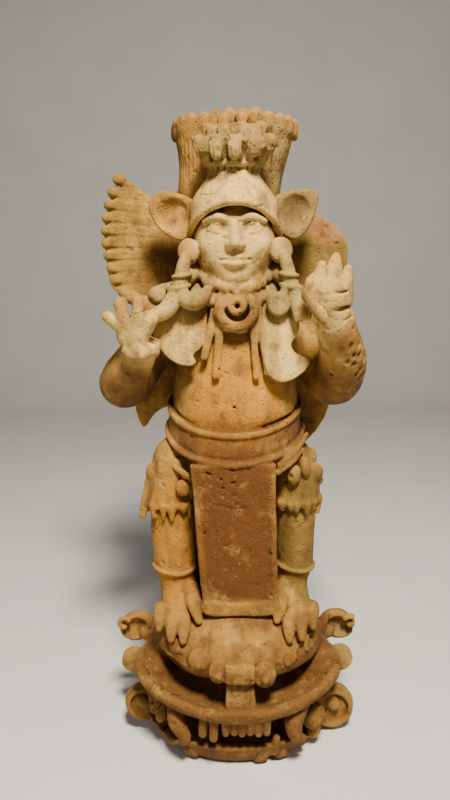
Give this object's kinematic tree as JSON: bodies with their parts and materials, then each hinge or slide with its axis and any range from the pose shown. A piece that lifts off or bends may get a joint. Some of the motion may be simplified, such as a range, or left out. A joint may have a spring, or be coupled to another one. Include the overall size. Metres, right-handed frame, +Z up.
{
  "type": "effigy incense burner",
  "caption": "Tall hollow fired-clay incense burner: a caped figure with a flaring feather crown standing on a monster's head",
  "frame": {"origin": "centre of the vessel's underside, on the surface that the burner stands on", "axes": "+Z up, the figure faces -Y, +X is the viewer's right"},
  "size_m": [0.3977, 0.304, 0.9602],
  "materials": {
    "fired_clay": "unglazed, worn and patinated fired clay"
  },
  "bodies": {
    "root": {"effigy_burner": "fired_clay"}
  },
  "joints": []
}
